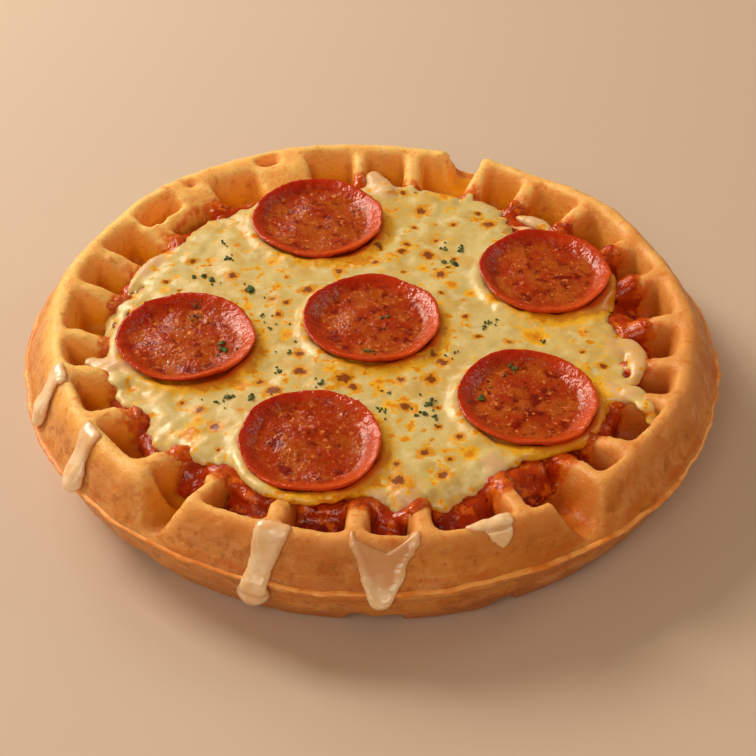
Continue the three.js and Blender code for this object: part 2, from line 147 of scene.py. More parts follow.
def finish_piece(name, shape, material, slot, *replaced):
    """Turns a worked shape into a finished piece that rests with the whole."""
    mesh = bpy.data.meshes.new(name)
    shape.to_mesh(mesh)
    shape.free()
    mesh.shade_smooth()
    mesh.materials.append(material)
    piece = bpy.data.objects.new(name, mesh)
    bpy.context.collection.objects.link(piece)
    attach(piece, "root")
    if replaced:
        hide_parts(*replaced)
    return piece


def seen(red, green, blue):
    """A colour as a screen shows it, 0 to 255, in the values that a shader reads."""
    parts = [part / 255 for part in (red, green, blue)]
    return tuple(((part + 0.055) / 1.055) ** 2.4 if part > 0.04 else part / 12.92 for part in parts) + (1,)


def add_node(tree, kind, sockets=None, **settings):
    """A shader node with its settings made, and its sockets given values or links."""
    node = tree.nodes.new(kind)
    for name, value in settings.items():
        setattr(node, name, value)
    for name, value in (sockets or {}).items():
        if isinstance(value, bpy.types.NodeSocket):
            tree.links.new(value, node.inputs[name])
        else:
            node.inputs[name].default_value = value
    return node


def calculate(tree, operation, first, second):
    """One sum on values, kept between 0 and 1."""
    settings = {"operation": operation, "use_clamp": True}
    return add_node(tree, "ShaderNodeMath", {0: first, 1: second}, **settings).outputs[0]


def weaken(tree, mask, by):
    """A mask made weaker by a share or by another mask."""
    return calculate(tree, "MULTIPLY", mask, by)


def ramp(tree, value, start, end):
    """0 at the start, 1 at the end, smooth between."""
    sockets = {"Value": value, "From Min": start, "From Max": end}
    node = add_node(tree, "ShaderNodeMapRange", sockets, interpolation_type="SMOOTHSTEP")
    return node.outputs["Result"]


def between(tree, share, least, most):
    """The least value where the share is 0, the most where it is 1."""
    sockets = {"Value": share, "To Min": least, "To Max": most}
    return add_node(tree, "ShaderNodeMapRange", sockets).outputs["Result"]


def tint(tree, share, under, over):
    """One colour over another, by a share."""
    return add_node(tree, "ShaderNodeMix", {0: share, 6: under, 7: over}, data_type="RGBA").outputs[2]


def stretched(tree, place, *stretch):
    """The place with its three axes scaled, to draw a pattern out along one of them."""
    sockets = {"Vector": place, "Scale": stretch}
    return add_node(tree, "ShaderNodeMapping", sockets).outputs["Vector"]


def noted(tree, name):
    """A value that the mesh holds at every point."""
    return add_node(tree, "ShaderNodeAttribute", attribute_name=name).outputs["Fac"]


def new_group(name, inputs, output, kind):
    """An empty effect with named inputs and one output, and its two end nodes."""
    group = bpy.data.node_groups.new(name, "ShaderNodeTree")
    group.interface.new_socket("Place", in_out="INPUT", socket_type="NodeSocketVector")
    for label in inputs:
        group.interface.new_socket(label, in_out="INPUT", socket_type="NodeSocketFloat")
    group.interface.new_socket(output, in_out="OUTPUT", socket_type=kind)
    return group, group.nodes.new("NodeGroupInput").outputs, group.nodes.new("NodeGroupOutput")


def make_patches():
    """Effect: soft-edged patches of one size, 1 inside them and 0 outside."""
    labels = ("Size", "Detail", "From", "To")
    group, given, end = new_group("patches", labels, "Mask", "NodeSocketFloat")
    scale = add_node(group, "ShaderNodeMath", {0: 1.0, 1: given["Size"]}, operation="DIVIDE").outputs[0]
    sockets = {"Vector": given["Place"], "Scale": scale, "Detail": given["Detail"], "Roughness": 0.6}
    cloud = add_node(group, "ShaderNodeTexNoise", sockets).outputs["Fac"]
    group.links.new(ramp(group, cloud, given["From"], given["To"]), end.inputs["Mask"])
    return group


def make_relief():
    """Effect: a bumpy surface, of coarse lumps with fine ones on them."""
    labels = ("Coarse", "Fine", "Fine share", "Strength", "Depth")
    group, given, end = new_group("relief", labels, "Normal", "NodeSocketVector")
    heights = []
    for label in ("Coarse", "Fine"):
        scale = add_node(group, "ShaderNodeMath", {0: 1.0, 1: given[label]}, operation="DIVIDE").outputs[0]
        sockets = {"Vector": given["Place"], "Scale": scale, "Detail": 2.0, "Roughness": 0.5}
        heights.append(add_node(group, "ShaderNodeTexNoise", sockets).outputs["Fac"])
    both = add_node(group, "ShaderNodeMix", {0: given["Fine share"], 2: heights[0], 3: heights[1]})
    bump = {"Height": both.outputs[0], "Strength": given["Strength"], "Distance": given["Depth"]}
    group.links.new(add_node(group, "ShaderNodeBump", bump).outputs["Normal"], end.inputs["Normal"])
    return group


PATCHES = make_patches()
RELIEF = make_relief()


def patches(tree, place, size, start, end, detail=3.0):
    """A mask of patches; the higher its start and end, the fewer and smaller they are."""
    sockets = {"Place": place, "Size": size, "Detail": detail, "From": start, "To": end}
    return add_node(tree, "ShaderNodeGroup", sockets, node_tree=PATCHES).outputs["Mask"]


def mottle(tree, under, place, size, start, end, over, share=1.0):
    """One colour with patches of another over it, as strong as the share."""
    return tint(tree, weaken(tree, patches(tree, place, size, start, end), share), under, over)


def relief(tree, place, coarse, fine, fine_share, strength, depth):
    """The shading of a bumpy surface, from the sizes of its coarse and its fine lumps."""
    sockets = {"Place": place, "Coarse": coarse, "Fine": fine, "Fine share": fine_share,
               "Strength": strength, "Depth": depth}
    return add_node(tree, "ShaderNodeGroup", sockets, node_tree=RELIEF).outputs["Normal"]


def link_surface(tree, shader, colour, normal, rough=None):
    """Gives the shader its colour and its bumps, and its roughness where that is uneven."""
    tree.links.new(colour, shader.inputs["Base Color"])
    tree.links.new(normal, shader.inputs["Normal"])
    if rough:
        tree.links.new(rough, shader.inputs["Roughness"])


def new_material(name, constants):
    """A material with its shader's plain values set, its node tree and the place on the piece."""
    material = bpy.data.materials.new(name)
    material.use_nodes = True
    tree = material.node_tree
    shader = tree.nodes["Principled BSDF"]
    for label, value in constants.items():
        shader.inputs[label].default_value = value
    return material, tree, shader, add_node(tree, "ShaderNodeTexCoord").outputs["Object"]


def around(table, degrees):
    """A radius read between the rows of a table of degrees and radii that runs once round."""
    first = table[-1]
    for second in table:
        span = (second[0] - first[0]) % 360
        if (degrees - first[0]) % 360 < span:
            share = (degrees - first[0]) % 360 / span
            return first[1] * (1 - share) + second[1] * share
        first = second
    return first[1]


def sauce_cover(place):
    """How well the sauce covers a place on the crust: 1 fully, below 0 not at all."""
    radius = place.xy.length / MM
    if radius < SAUCE_INNER or place.z < SAUCE_LOWEST:
        return NO_SAUCE
    degrees = math.degrees(math.atan2(place.y, place.x)) % 360
    uneven = 0.9 * lumps(place, 4 * MM, 3) + 0.5 * lumps(place, 1.5 * MM, 8)
    return (around(SAUCE_REACH, degrees) - radius) / SAUCE_FADE + uneven


def notch_lift(place):
    """How far the foot of the wall is lifted where a groove of the underside runs out through it."""
    lift = 0
    for degrees, half, high in FOOT_NOTCHES:
        middle = Vector((math.cos(math.radians(degrees)), math.sin(math.radians(degrees))))
        aside = (place.xy - middle * place.xy.dot(middle)).length / MM
        if place.xy.dot(middle) > FOOT_RADIUS:
            lift = max(lift, high * MM * step_between(aside, half + 1, half - 1))
    return lift * (1 - step_between(place.z, 0, FOOT_HEIGHT))


def make_crust():
    """Painted light back left; painted shade front right, in pockets and creases; painted crest highlights;
    darker on the wall.
    """
    constants = {"Subsurface Weight": 0.5, "Subsurface Radius": (1, 0.5, 0.12), "Subsurface Scale": 5 * MM,
                 "Specular IOR Level": 0.22}
    material, tree, shader, place = new_material("baked_crust", constants)
    axes = add_node(tree, "ShaderNodeSeparateXYZ", {"Vector": place}).outputs
    height = axes["Z"]
    flat = add_node(tree, "ShaderNodeVectorMath", {0: place, 1: (1, 1, 0)}, operation="MULTIPLY").outputs[0]
    radius = add_node(tree, "ShaderNodeVectorMath", {0: flat}, operation="LENGTH").outputs["Value"]
    outside = ramp(tree, radius, OUTSIDE_RADIUS - 1.5 * MM, OUTSIDE_RADIUS + 1.5 * MM)
    inside = calculate(tree, "SUBTRACT", 1.0, outside)
    pocket = weaken(tree, ramp(tree, height, RIB_TOP, POCKET_FLOOR), inside)
    edge, stain = noted(tree, "edge"), noted(tree, "stain")
    streaky, banded = stretched(tree, place, 1, 1, 4), stretched(tree, place, 1, 1, 9)
    # Lighter towards the back left and darker towards the front right: painted light and painted shade.
    back_left = add_node(tree, "ShaderNodeVectorMath", {0: place, 1: (-1, 1, 0)}, operation="DOT_PRODUCT")
    painted_light_back_left = ramp(tree, back_left.outputs["Value"], -100 * MM, 80 * MM)

    colour = mottle(tree, seen(240, 168, 78), place, 9 * MM, 0.42, 0.66, seen(228, 138, 46))
    colour = mottle(tree, colour, place, 4 * MM, 0.55, 0.72, seen(252, 196, 118))
    colour = tint(tree, weaken(tree, painted_light_back_left, 0.6), colour, seen(255, 204, 120))
    painted_shade_front_right = weaken(tree, calculate(tree, "SUBTRACT", 1.0, painted_light_back_left), 0.5)
    colour = tint(tree, painted_shade_front_right, colour, seen(196, 128, 74))
    # Deeper orange in the pockets: painted shade towards the front right, painted bounced light towards the
    # back left.
    colour = tint(tree, pocket, colour, tint(tree, painted_light_back_left, seen(182, 94, 14), seen(255, 178, 8)))

    wall = tint(tree, ramp(tree, height, 3 * MM, 14 * MM), seen(158, 84, 16), seen(200, 120, 44))
    # Paler towards the left of the wall: painted light.
    painted_light_left = weaken(tree, ramp(tree, axes["X"], 10 * MM, -75 * MM), 0.45)
    wall = tint(tree, painted_light_left, wall, seen(240, 184, 128))
    wall = mottle(tree, wall, place, 22 * MM, 0.42, 0.66, seen(218, 146, 66))
    wall = mottle(tree, wall, banded, 26 * MM, 0.46, 0.66, seen(190, 100, 26), 0.3)
    wall = mottle(tree, wall, banded, 14 * MM, 0.5, 0.7, seen(238, 174, 96), 0.3)
    wall = mottle(tree, wall, place, 7 * MM, 0.5, 0.62, seen(228, 162, 98), 0.5)
    wall = mottle(tree, wall, place, 2.6 * MM, 0.5, 0.66, seen(156, 84, 14), 0.45)
    sockets = {0: height, 1: SEAM_HEIGHT, 2: SEAM_BAND}
    near_seam = add_node(tree, "ShaderNodeMath", sockets, operation="COMPARE").outputs[0]
    toasted = weaken(tree, near_seam, patches(tree, streaky, 8 * MM, 0.4, 0.6))
    wall = tint(tree, weaken(tree, toasted, 0.45), wall, seen(206, 96, 18))
    under_rim = weaken(tree, outside, ramp(tree, height, 28.6 * MM, 25.5 * MM))
    colour = tint(tree, under_rim, colour, wall)

    # Paler on the crests: a painted highlight, strongest under the painted light at the back left.
    crest = weaken(tree, ramp(tree, edge, 0.1, 0.7), between(tree, painted_light_back_left, 0.3, 0.9))
    colour = tint(tree, crest, colour, seen(255, 208, 128))
    # Darker in the creases: painted shade.
    painted_crease_shade = weaken(tree, ramp(tree, edge, -0.1, -0.7), 0.5)
    colour = tint(tree, painted_crease_shade, colour, seen(196, 84, 10))
    colour = mottle(tree, colour, place, 3.4 * MM, 0.56, 0.72, seen(206, 112, 30), 0.6)
    colour = mottle(tree, colour, place, 1.3 * MM, 0.54, 0.74, seen(204, 108, 28), 0.4)
    soaked = weaken(tree, stain, patches(tree, place, 2.5 * MM, 0.2, 0.6))
    colour = tint(tree, ramp(tree, soaked, 0.05, 0.5), colour, seen(216, 100, 24))
    colour = tint(tree, ramp(tree, soaked, 0.5, 1), colour, seen(186, 56, 10))
    rough = between(tree, patches(tree, place, 5 * MM, 0.35, 0.7), 0.34, 0.56)
    normal = relief(tree, stretched(tree, place, 1, 1, 1.6), 2.4 * MM, 0.7 * MM, 0.45, 0.75, 0.55 * MM)
    link_surface(tree, shader, colour, normal, rough)
    return material


crust = even_skin(solid_copy("waffle"), CRUST_GRAIN)
soften(crust, 5, upwards=False)
soften(crust, 2)
mark_edges(crust, 14, CRUST_EDGE)
for vert in crust.verts:
    place = vert.co.copy()
    free = min(1, max(0, place.z) / UNDERSIDE_CLEAR)
    vert.co += CRUST_SWAY * free * sway(place, 18 * MM, 1)
    swell = CRUST_LUMP * lumps(place, 5 * MM, 3) + CRUST_CRUMB * lumps(place, 1.8 * MM, 7)
    vert.co += vert.normal * swell * free
    vert.co.z = max(0, vert.co.z) + notch_lift(place)
crust.normal_update()
stain = crust.verts.layers.float.new("stain")
for vert in crust.verts:
    vert[stain] = max(0, min(1, 0.55 + 0.4 * sauce_cover(vert.co.copy())))
CRUST = make_crust()
CRUST_SURFACE = BVHTree.FromBMesh(crust)
baked_shape = crust.copy()
finish_piece("waffle_crust", crust, CRUST, "waffle", "waffle")

# Seam flash
# A thin ragged lip of batter that squeezed out between the two halves of the iron and set hard. It
# runs once round the wall, and stands out furthest where the batter was spooned too near the edge.

FLASH_STEPS = 600
FLASH_SIDES = 10
FLASH_WIDE = 1.1 * MM
FLASH_HIGH = 0.45 * MM
FLASH_SUNK = 0.3 * MM
SEAM_RADIUS = 90 * MM
CLEAR_OF_ALL = 200 * MM


def make_flash():
    """Crisp batter, streaked where it baked darker."""
    constants = {"Roughness": 0.45, "Specular IOR Level": 0.4}
    material, tree, shader, place = new_material("crisp_flash", constants)
    streaky = stretched(tree, place, 1, 1, 3)
    colour = mottle(tree, seen(250, 176, 92), streaky, 6 * MM, 0.4, 0.66, seen(228, 128, 40))
    link_surface(tree, shader, colour, relief(tree, place, 1.6 * MM, 0.6 * MM, 0.4, 0.5, 0.3 * MM))
    return material


def wall_radius(turn, height):
    """How far out the wall stands at a turn round the middle, and at a height."""
    way = Vector((math.cos(turn), math.sin(turn), 0))
    hit = CRUST_SURFACE.ray_cast(way * CLEAR_OF_ALL + Vector((0, 0, height)), -way)[0]
    return hit.xy.length


flash = bmesh.new()
upright = Matrix.Translation((1, 0, 0)) @ Matrix.Rotation(math.pi / 2, 4, "X")
bmesh.ops.create_circle(flash, segments=FLASH_SIDES, radius=FLASH_WIDE, matrix=upright)
bmesh.ops.spin(flash, geom=flash.edges, cent=(0, 0, 0), axis=(0, 0, 1), angle=math.tau,
               steps=FLASH_STEPS, use_merge=True)
for vert in flash.verts:
    turn = math.atan2(vert.co.y, vert.co.x)
    way = Vector((math.cos(turn), math.sin(turn), 0))
    spot = way * SEAM_RADIUS
    ragged = 0.5 * MM * lumps(spot, 12 * MM, 2) + 0.25 * MM * lumps(spot, 3 * MM, 6)
    height = SEAM_HEIGHT + 0.4 * MM * lumps(spot, 14 * MM, 4) + vert.co.z / FLASH_WIDE * FLASH_HIGH
    out = wall_radius(turn, SEAM_HEIGHT) - FLASH_SUNK + ragged + vert.co.xy.length - 1
    vert.co = way * out + Vector((0, 0, height))
bmesh.ops.recalc_face_normals(flash, faces=flash.faces)
finish_piece("seam_flash", flash, make_flash(), "waffle")

# Tomato sauce
# A thick cooked sauce, spooned into the pockets before the cheese. It shows as a wet lumpy band
# between the cheese and the rim, dark red where it is deep and orange where it is thin.

SAUCE_GRAIN = 0.9 * MM
SAUCE_CLEAR = 2 * MM
SKY = 60 * MM
SAUCE_SWELL = 0.3 * MM
SAUCE_BULGE = 0.5 * MM
SAUCE_CRUMB = 0.3 * MM
SMEAR_DEPTH = 0.7 * MM
SMEAR_BACK = 0.6 * MM
# The film's cover at which it is cut off, counts as bare, and is lowest under the crust
SMEAR_MARGIN = -2
SMEAR_BARE = -0.3
SMEAR_LEAST = -0.4
# Lumps that stand out of the sauce: place in plan and half width
SAUCE_LUMPS = [
    (65.4, 6.2, 2.4), (68, 5, 2.6), (70.5, 2.8, 2.4), (71.4, -0.3, 2), (66, 2, 2.4), (52, -44, 3),
    (56, -38, 2.6), (30, -58, 2.6), (35, -55, 2.4), (27, -61, 2), (-66, 17, 2), (-60, 28, 2.2),
    (46, 54, 2.2), (40, 56, 2),
]
# Lumps strewn over the rest: how many for a degree, and the largest half widths, at the front and behind
LUMPS_A_DEGREE = 0.8
FRONT_FROM = 215
FRONT_LUMP = 2.8
BACK_LUMP = 1.9


def make_sauce():
    """Wet sauce: dark where it is deep, orange where it is high or thin."""
    constants = {"Specular IOR Level": 0.4, "Subsurface Weight": 0.12, "Subsurface Radius": (1, 0.2, 0.05),
                 "Subsurface Scale": 2 * MM}
    material, tree, shader, place = new_material("cooked_tomato_sauce", constants)
    axes = add_node(tree, "ShaderNodeSeparateXYZ", {"Vector": place}).outputs
    colour = tint(tree, ramp(tree, axes["Z"], 18.5 * MM, 25.5 * MM), seen(122, 12, 0), seen(196, 72, 8))
    colour = mottle(tree, colour, place, 6 * MM, 0.42, 0.6, seen(170, 46, 2))
    colour = mottle(tree, colour, place, 3.4 * MM, 0.52, 0.66, seen(218, 104, 20))
    colour = mottle(tree, colour, place, 2.2 * MM, 0.6, 0.7, seen(106, 4, 0))
    colour = tint(tree, ramp(tree, noted(tree, "thin"), 0.2, 1), colour, seen(216, 108, 24))
    # Paler and pinker towards the left: painted light and sheen.
    painted_light_left = weaken(tree, ramp(tree, axes["X"], -50 * MM, -64 * MM), 0.4)
    colour = tint(tree, painted_light_left, colour, seen(224, 118, 72))
    rough = between(tree, patches(tree, place, 2.5 * MM, 0.35, 0.7), 0.08, 0.26)
    link_surface(tree, shader, colour, relief(tree, place, 1.8 * MM, 0.7 * MM, 0.4, 0.9, 0.5 * MM), rough)
    return material


def drop(x, y, *grounds):
    """The highest point of some surfaces under a place."""
    hits = [ground.ray_cast(Vector((x, y, SKY)), Vector((0, 0, -1)))[0] for ground in grounds]
    return max(hit.z for hit in hits if hit)


def outline(shape):
    """The outermost radius of a shape for each degree round the middle."""
    reach = [0.0] * 360
    for edge in shape.edges:
        for share in (0, 0.25, 0.5, 0.75):
            spot = edge.verts[0].co.lerp(edge.verts[1].co, share)
            degrees = int(math.degrees(math.atan2(spot.y, spot.x))) % 360
            reach[degrees] = max(reach[degrees], spot.xy.length)
    return reach


def lay_blob(shape, place, size, flat):
    """Adds a flattened round blob to a shape, to be fused with it."""
    matrix = Matrix.Translation(place) @ Matrix.Diagonal((1, 1, flat, 1))
    bmesh.ops.create_icosphere(shape, subdivisions=2, radius=size, matrix=matrix)


def smear(ground, cover, depth):
    """A film that follows the ground where its cover is above 0, and feathers out into it."""
    film = ground.copy()
    far = [vert for vert in film.verts if cover(vert.co) < SMEAR_MARGIN]
    bmesh.ops.delete(film, geom=far, context="VERTS")
    bmesh.ops.subdivide_edges(film, edges=film.edges, cuts=1, use_grid_fill=True)
    film.normal_update()
    film.verts.index_update()
    shares = [max(SMEAR_LEAST, min(1, cover(vert.co))) for vert in film.verts]
    thin = film.verts.layers.float.new("thin")
    for vert in film.verts:
        vert.co += vert.normal * depth * shares[vert.index]
        vert[thin] = 1 - max(0, shares[vert.index])
    bare = [face for face in film.faces if all(shares[vert.index] < SMEAR_BARE for vert in face.verts)]
    bmesh.ops.delete(film, geom=bare, context="FACES")
    bmesh.ops.reverse_faces(film, faces=film.faces)
    top = bmesh.ops.extrude_face_region(film, geom=film.faces)["geom"]
    bmesh.ops.reverse_faces(film, faces=film.faces)
    for item in top:
        if isinstance(item, bmesh.types.BMVert):
            item.co -= item.normal * SMEAR_BACK
    bmesh.ops.recalc_face_normals(film, faces=film.faces)
    return film


SAUCE = make_sauce()
finish_piece("sauce_smear", smear(baked_shape, sauce_cover, SMEAR_DEPTH), SAUCE, "tomato_sauce")
sauce = solid_copy("tomato_sauce")
POOLED = BVHTree.FromBMesh(sauce)
sheet = solid_copy("cheese")
SHEET_REACH = outline(sheet)
SHEET = BVHTree.FromBMesh(sheet)
sheet.free()
draw = random.Random(3)
heap = list(SAUCE_LUMPS)
for number in range(int(360 * LUMPS_A_DEGREE)):
    degrees = number / LUMPS_A_DEGREE
    turn = math.radians(degrees)
    start, end = SHEET_REACH[int(degrees)] / MM + 0.5, around(SAUCE_REACH, degrees) - 1
    out = start + (end - start) * draw.random()
    largest = FRONT_LUMP if degrees > FRONT_FROM else BACK_LUMP
    heap.append((out * math.cos(turn), out * math.sin(turn), draw.uniform(1, largest)))
for x, y, size in heap:
    x, y, size = x * MM, y * MM, size * MM
    lay_blob(sauce, (x, y, drop(x, y, CRUST_SURFACE, POOLED) + 0.1 * size), size, 0.4)
sauce = even_skin(sauce, SAUCE_GRAIN)
soften(sauce, 3)
for vert in sauce.verts:
    place = vert.co.copy()
    swell = SAUCE_BULGE * lumps(place, 4.5 * MM, 2) + SAUCE_CRUMB * lumps(place, 2 * MM, 6)
    vert.co += vert.normal * (SAUCE_SWELL + swell)
thin = sauce.verts.layers.float.new("thin")
for vert in sauce.verts:
    vert[thin] = 0.8 * max(0, 1 - CRUST_SURFACE.find_nearest(vert.co)[3] / SAUCE_CLEAR)
SAUCE_SURFACE = BVHTree.FromBMesh(sauce)
finish_piece("sauce_band", sauce, SAUCE, "tomato_sauce", "tomato_sauce")

# Melted cheese
# Grated cheese, melted into one sheet over the sauce, thick and pale at its edge, where tongues and
# soft folds of it hang over the sauce. Oil has stained it, and it has browned where bubbles burst.

CHEESE_GRAIN = 0.8 * MM
CHEESE_EDGE = 0.7 * MM
CHEESE_SWELL = 0.15 * MM
CHEESE_BULGE = 0.6 * MM
CHEESE_CRUMB = 0.22 * MM
# Spots that browned, and patches of oil: place in plan and half width
BROWNED_SPOTS = [
    (8, 61.5, 2.6), (11.5, 62.5, 1.2), (26, 60.5, 1.2), (13, 51.5, 4), (11, 43.5, 2), (22, 45, 2.2),
    (17, 45, 1), (29, 51.5, 2), (32, 45.8, 4), (9, 35, 2.5), (7.5, 31.5, 3), (17, 37, 2), (15, 30, 4),
    (8, 22, 1.5), (18, 21, 3), (16.5, 23.5, 1), (22, 28.5, 2), (18, 12, 1.5), (24, 10, 1), (1, 33.5, 3),
    (24, 2, 2), (27, -6, 2.2), (35, -8, 2), (55, -3.5, 1.2), (53.5, -11.5, 1.8), (58.5, -17, 2),
    (21, -4, 1), (21.5, -7, 1), (15.5, -14, 2.6), (18, -17, 3), (12, -15, 1), (7.5, -24, 2),
    (11, -23.5, 1), (15, -23.5, 4), (16.5, -34, 2), (8.5, -34, 3), (16.5, -41.5, 2), (13, -43, 1),
    (21.5, -45.5, 2.4), (15, -46, 1), (7, -40, 1), (13, -51.2, 3.2), (19, -53, 1.8), (17.5, -58.5, 3),
    (6.5, -55.5, 2), (7, -61, 4.5), (24, -62, 1), (-37.8, 32.5, 1.5), (-49.3, 24.9, 2), (-44.4, 23.8, 1),
    (-38, 18.3, 3.2), (-55.5, 15, 1.8), (-51.3, 11.6, 1.5), (-23.3, 18.3, 1.5), (-26.3, 9, 2),
    (-22.7, 7.2, 2.2), (-24.7, 2, 2.4), (-17.5, 13.1, 3.6), (-9.4, 21.6, 3), (0.3, 26.3, 2.4),
    (-18.4, -14.4, 3), (-17.8, -21.6, 3.5), (-27.5, -26, 3), (-23.8, -29.4, 4), (-6.9, -24, 5),
    (-4.4, -26.9, 3), (-45.9, -34.4, 2), (-41.3, -36.9, 3), (-37.2, -43.1, 3), (-31.3, -37.5, 1.5),
    (-35.6, -51.3, 1.5),
]
AMBER_SPOTS = [
    (20, 62, 5), (24, 65, 5), (13, 24, 3), (21, 16, 3), (26, 13, 3), (32, 10, 4), (42, -5, 5), (40, -4, 3),
    (2, -24.5, 3), (2, -27, 3), (4.5, -33, 3), (9, -46, 2), (23.5, -51, 4), (-53, 17.5, 2),
    (-55.3, 11.3, 2.5), (-31.6, 22.5, 2), (-27.8, 25.3, 3), (-25.3, 14, 2.5), (-33, 5.3, 3),
    (-21.9, -6.6, 3), (-31.9, -26.9, 4), (-10, -20.6, 3), (-41.3, -40.6, 3), (-43, -45, 4),
]
SPOT_REACH = 0.9
PALE_REACH = 2.2
# Lobes along the edge of the sheet: degrees between them, and rows inwards from the edge
LOBE_STEP = 3
LOBE_ROWS = (1.2, 3.4, 5.6)
# Tongues that hang over the sauce, and pale folds: places in plan and half widths
TONGUES = [
    (57, -16, 3.4), (60, -19.5, 3.6), (62.6, -24, 3.6), (65, -29, 3.4), (67.2, -33, 3), (68.8, -35.6, 2.4),
    (57.4, -24, 3.4), (60, -26.4, 3.2), (62.4, -28.4, 3), (-62, -20, 3.2), (-65, -19.6, 3.2), (-68, -19.2, 3),
    (-70.2, -18, 2.4), (-68.6, -22, 2.2), (-65.4, -22.6, 2.6), (-62.6, -26.4, 2.8), (-60.6, -30.6, 2.8),
    (-58.6, -33, 2.8), (-56, -34.6, 2.8), (-53, -35.8, 2.6),
]
TONGUE_LOWEST = 23.5
PALE_FOLDS = [
    ((-65, 14.5, 1), (-62.4, 20.4, 2), (-59.4, 25.4, 2.2), (-56, 30, 1.4)),
    ((-60, -20.6, 2.2), (-64.4, -20.4, 2.6), (-68.4, -19, 2.4)),
    ((61.9, -10.4, 1.8), (63.4, -7.8, 2.4), (65.8, -7.4, 3.2), (67.6, -10.4, 3.2), (67.6, -14.4, 2.8),
     (66.8, -18.4, 2.2), (66, -21.6, 1.6)),
    ((55.6, -26.6, 2), (58.6, -27, 2.8), (61.4, -28, 2.8), (63.4, -29.4, 1.8)),
    ((-0.6, 71, 2.8), (0.8, 67.4, 3.6), (2, 64, 3.4), (3.2, 61.4, 2.4)),
    ((41, 51.4, 1.4), (44, 49.8, 2), (47, 47.6, 2.2), (49, 45.2, 1.8)),
    ((-1, -60.4, 1.6), (0.8, -62.8, 2), (2.2, -65, 1.4)),
    ((7.4, -62.6, 1.6), (9, -64.8, 2.2), (10.4, -66.8, 1.4)),
    ((28.6, -53.2, 1.6), (29.8, -55, 1.8)),
]
STRAND_STEP = 1 * MM
STRAND_FLAT = 0.5
SLICES = ["centre", "back_left", "left", "front", "front_right", "back_right"]
SLICE_PLACES = []
for which in SLICES:
    low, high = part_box("pepperoni_" + which)
    SLICE_PLACES.append(((low + high) / 2, (high.x - low.x) / 2))
SLICE_FOOT = 24 * MM
BEAD_STEP = 6
BEAD_GAP = 0.3 * MM
# The lower right side of each slice, where light through its edge shows as a painted glow.
GLOW_SIDE = Vector((0.75, -0.66))
OIL_GLOW_INWARDS = 6 * MM
OIL_GLOW_OUTWARDS = 5 * MM


def note_spots(shape, name, spots, fringe):
    """Notes how strongly each point is coloured by the nearest of some round spots."""
    layer = shape.verts.layers.float.new(name)
    for vert in shape.verts:
        place = vert.co
        astray = 1 + 0.6 * lumps(place, 1.8 * MM, 9)
        best = 0
        for x, y, size in spots:
            reach = size * fringe * MM
            gap_x, gap_y = place.x - x * MM, place.y - y * MM
            if abs(gap_x) < reach and abs(gap_y) < reach:
                best = max(best, 1 - astray * math.hypot(gap_x, gap_y) / reach)
        vert[layer] = max(0, best)
    return layer


def oil_stain_and_glow(place):
    """How strongly the orange oil of the slices has stained a place, with a painted glow: only at their lower
    right.
    """
    best = 0
    for middle, radius in SLICE_PLACES:
        away = (place - middle).xy
        out = away.length - radius
        if -OIL_GLOW_INWARDS < out < OIL_GLOW_OUTWARDS:
            side = 0.5 + 0.5 * away.normalized().dot(GLOW_SIDE)
            best = max(best, 1.15 * side * side * (1 - max(0, out) / OIL_GLOW_OUTWARDS))
    return best


def make_cheese():
    """Pale melted cheese with oily orange flecks, and spots that browned from a yellow edge inwards."""
    constants = {"Subsurface Weight": 0.2, "Subsurface Radius": (1, 0.7, 0.25), "Subsurface Scale": 3 * MM,
                 "Coat Weight": 0.12, "Coat Roughness": 0.18}
    material, tree, shader, place = new_material("melted_cheese", constants)
    browned, amber, edge = noted(tree, "browned"), noted(tree, "amber"), noted(tree, "edge")
    colour = mottle(tree, seen(214, 195, 126), place, 12 * MM, 0.38, 0.64, seen(207, 175, 96))
    colour = mottle(tree, colour, place, 5 * MM, 0.48, 0.66, seen(222, 206, 150))
    # Paler on convex lumps and edges: the thick cheese's own paleness, with a painted highlight.
    colour = tint(tree, weaken(tree, ramp(tree, edge, 0.2, 0.8), 0.6), colour, seen(232, 204, 152))
    folds = weaken(tree, ramp(tree, noted(tree, "pale"), 0.15, 0.6), 0.85)
    colour = tint(tree, folds, colour, seen(220, 180, 136))

    fine = patches(tree, place, 1.1 * MM, 0.3, 0.7)
    drops = patches(tree, place, 3.4 * MM, 0.54, 0.68, 2.0)
    oily = weaken(tree, drops, patches(tree, place, 18 * MM, 0.34, 0.5))
    across = add_node(tree, "ShaderNodeSeparateXYZ", {"Vector": place}).outputs["X"]
    right = ramp(tree, across, 30 * MM, 62 * MM)
    warm = calculate(tree, "ADD", weaken(tree, fine, 0.3), amber)
    warm = calculate(tree, "ADD", weaken(tree, oily, 0.85), warm)
    warm = calculate(tree, "ADD", weaken(tree, right, 0.26), warm)
    colour = tint(tree, ramp(tree, warm, 0.3, 0.7), colour, seen(238, 182, 30))
    colour = tint(tree, ramp(tree, warm, 0.75, 1), colour, seen(222, 142, 12))
    colour = tint(tree, ramp(tree, amber, 0.8, 1.1), colour, seen(206, 84, 12))

    scorched = calculate(tree, "ADD", weaken(tree, fine, 0.25), browned)
    colour = tint(tree, ramp(tree, scorched, 0.2, 0.5), colour, seen(222, 154, 18))
    colour = tint(tree, ramp(tree, scorched, 0.6, 0.82), colour, seen(136, 66, 4))
    rough = between(tree, patches(tree, place, 6 * MM, 0.35, 0.7), 0.32, 0.46)
    link_surface(tree, shader, colour, relief(tree, place, 3.5 * MM, 1.1 * MM, 0.35, 0.6, 0.4 * MM), rough)
    return material


